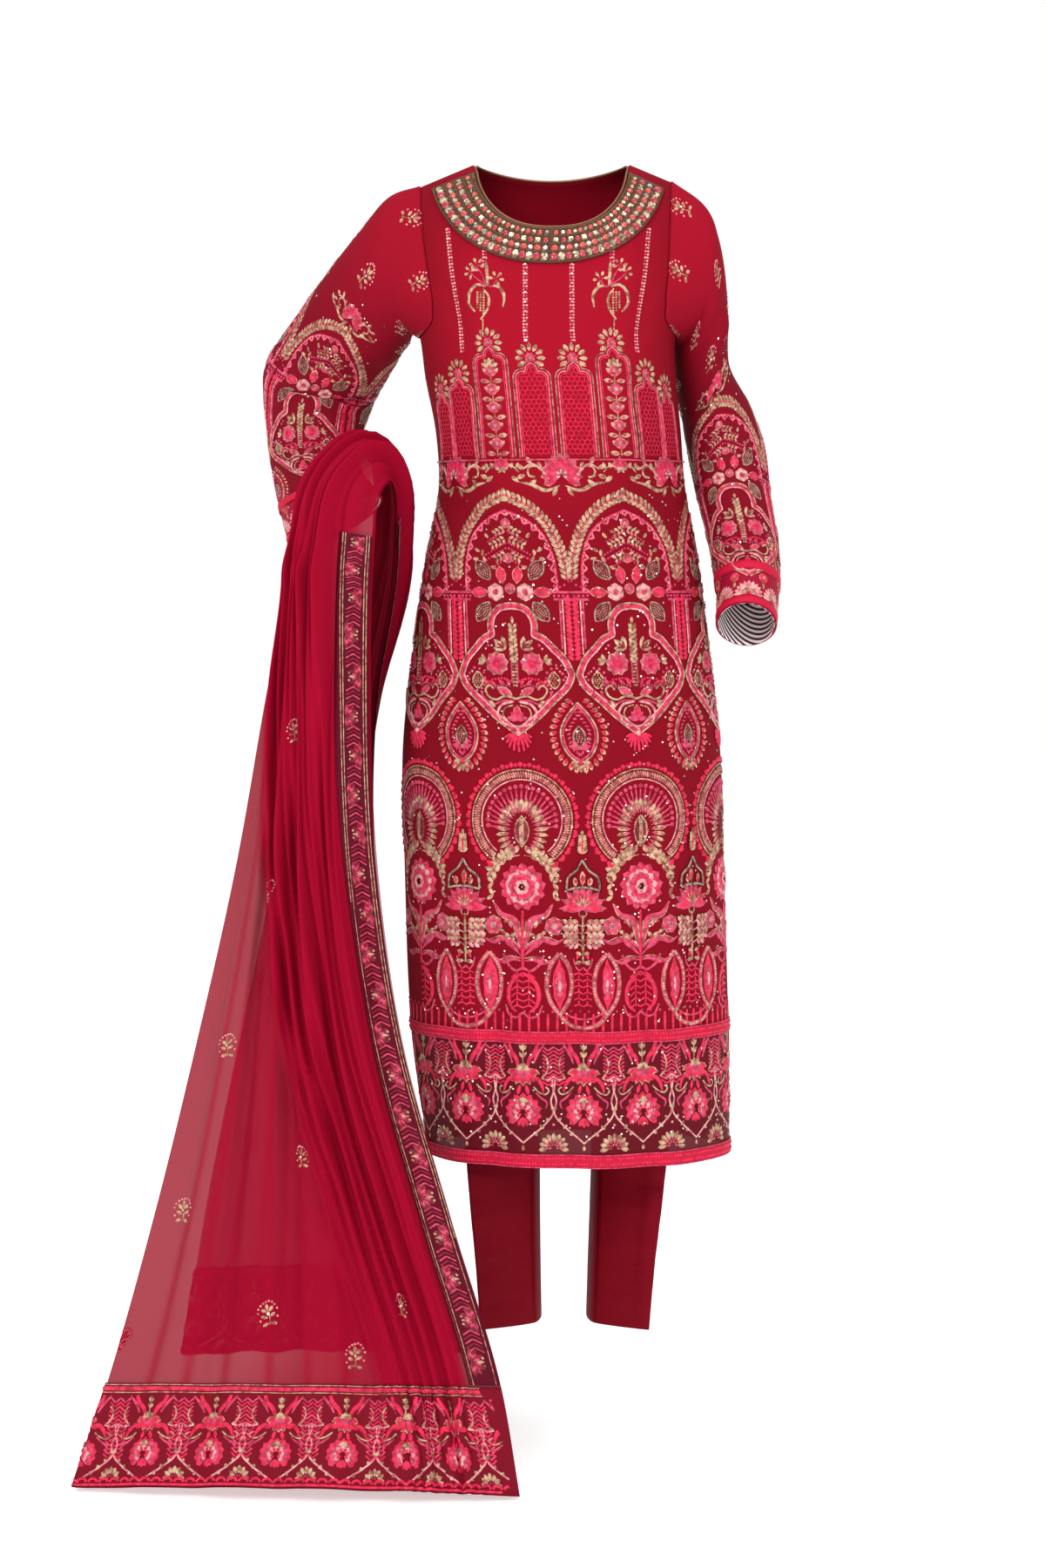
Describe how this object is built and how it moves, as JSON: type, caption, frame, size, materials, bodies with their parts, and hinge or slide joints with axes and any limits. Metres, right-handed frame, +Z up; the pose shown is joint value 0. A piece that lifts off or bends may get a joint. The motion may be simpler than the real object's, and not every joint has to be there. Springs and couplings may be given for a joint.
{
  "type": "salwar kameez suit",
  "caption": "Women's three-piece suit in its hollow worn form: long embroidered tunic with a jewelled neck yoke, straight cropped trousers and a sheer veil over one forearm.",
  "frame": {"origin": "midway between the two high shoulder points, where the wearer's shoulders carry the tunic", "axes": "+Z up, -Y towards the garment's front, +X towards the wearer's left hand"},
  "size_m": [0.7826, 0.3987, 1.4582],
  "materials": {
    "georgette": "crimson georgette with thread, zari and sequin embroidery",
    "organza": "maroon organza, slightly see-through, with embroidered cartouches",
    "braid": "hot pink woven braid",
    "raw_silk": "wine raw silk, slubbed, low sheen",
    "chiffon": "sheer crimson chiffon with scattered sprigs",
    "veil_border": "embroidered net border in pink, rose and gold",
    "jewelled_yoke": "bronze beads set with glass stones",
    "bronze_piping": "bronze corded piping"
  },
  "bodies": {
    "root": {"kameez_front": "georgette", "kameez_back": "georgette", "sleeve_left": "georgette", "sleeve_right": "georgette", "hem_border_front": "organza", "hem_border_back": "organza", "cuff_left": "organza", "cuff_right": "organza", "lace_tape_front": "braid", "lace_tape_back": "braid", "hem_tape_front": "braid", "hem_tape_back": "braid", "cuff_tape_left": "braid", "cuff_tape_right": "braid", "cuff_edging_left": "braid", "cuff_edging_right": "braid", "trouser_left_front": "raw_silk", "trouser_left_back": "raw_silk", "trouser_right_front": "raw_silk", "trouser_right_back": "raw_silk", "waistband": "raw_silk", "dupatta_front_fall": "chiffon", "dupatta_over_arm": "chiffon", "dupatta_back_fall": "chiffon", "dupatta_end_border_front": "veil_border", "dupatta_end_border_back": "veil_border", "dupatta_edge_border_front": "veil_border", "dupatta_edge_border_back": "veil_border", "neck_yoke": "jewelled_yoke", "neck_piping": "bronze_piping"}
  },
  "joints": []
}
